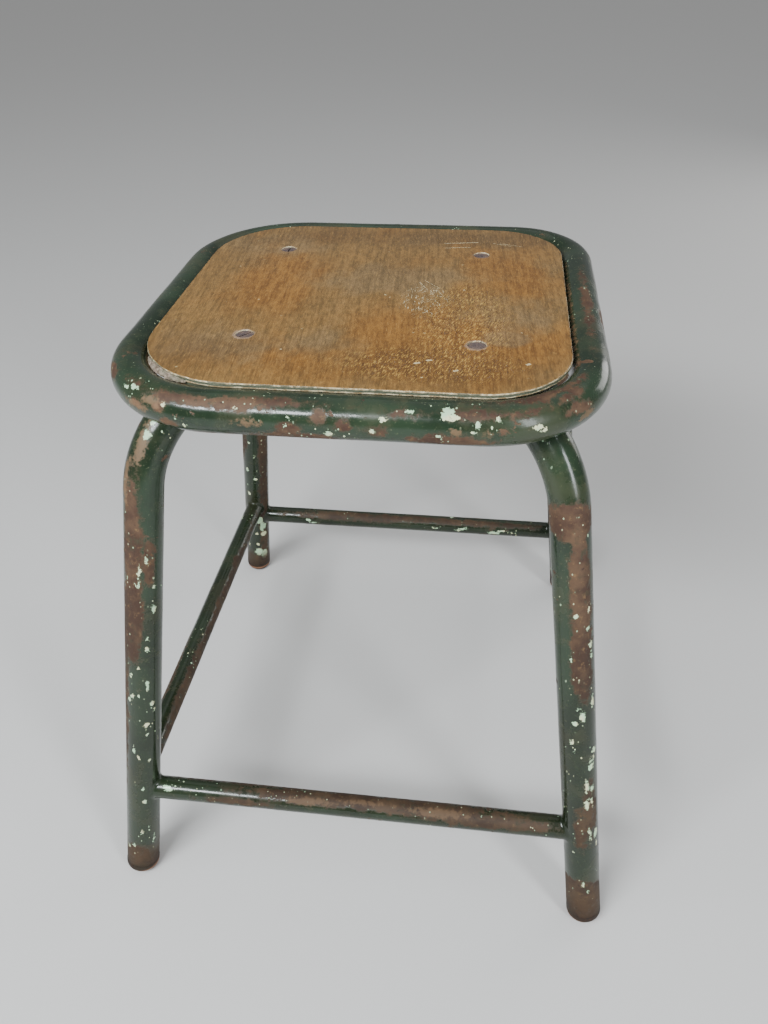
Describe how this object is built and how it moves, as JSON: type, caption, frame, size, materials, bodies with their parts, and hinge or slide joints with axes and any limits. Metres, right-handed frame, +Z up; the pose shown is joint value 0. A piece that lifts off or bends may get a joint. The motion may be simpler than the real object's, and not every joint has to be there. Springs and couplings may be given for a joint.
{
  "type": "workshop stool",
  "caption": "Low workshop stool: a rounded-square tube ring holds a flat plywood seat, on splayed tube legs that bend over under it and are tied by low cross tubes.",
  "frame": {"origin": "on the floor, in the middle of the four feet", "axes": "+Z up; the front is -Y, the side nearest the viewer; +X to the right as seen from the front"},
  "size_m": [0.4157, 0.4436, 0.4588],
  "materials": {
    "green_paint": "dark green gloss paint, worn and chipped, with red-brown rust showing through",
    "bare_rusted_steel": "bare steel, rusted orange-brown, worn where it stands",
    "plywood": "amber varnish, scratched and greyed, bare and worn at the edges",
    "dull_steel": "dull grey steel with a brown tarnish"
  },
  "bodies": {
    "root": {"braze_back_back_left": "green_paint", "braze_back_back_right": "green_paint", "braze_front_front_left": "green_paint", "braze_front_front_right": "green_paint", "braze_left_back_left": "green_paint", "braze_left_front_left": "green_paint", "braze_right_back_right": "green_paint", "braze_right_front_right": "green_paint", "foot_cap_back_left": "bare_rusted_steel", "foot_cap_back_right": "bare_rusted_steel", "foot_cap_front_left": "bare_rusted_steel", "foot_cap_front_right": "bare_rusted_steel", "leg_back_left": "green_paint", "leg_back_right": "green_paint", "leg_front_left": "green_paint", "leg_front_right": "green_paint", "nut_back_left": "dull_steel", "nut_back_right": "dull_steel", "nut_front_left": "dull_steel", "nut_front_right": "dull_steel", "rail_back": "green_paint", "rail_front": "green_paint", "rail_left": "green_paint", "rail_right": "green_paint", "ring_butt_weld": "green_paint", "seat_panel": "plywood", "seat_ring": "green_paint", "seat_screw_back_left": "dull_steel", "seat_screw_back_right": "dull_steel", "seat_screw_front_left": "dull_steel", "seat_screw_front_right": "dull_steel", "seat_weld_back_left": "green_paint", "seat_weld_back_right": "green_paint", "seat_weld_front_left": "green_paint", "seat_weld_front_right": "green_paint", "washer_back_left": "dull_steel", "washer_back_right": "dull_steel", "washer_front_left": "dull_steel", "washer_front_right": "dull_steel"}
  },
  "joints": []
}
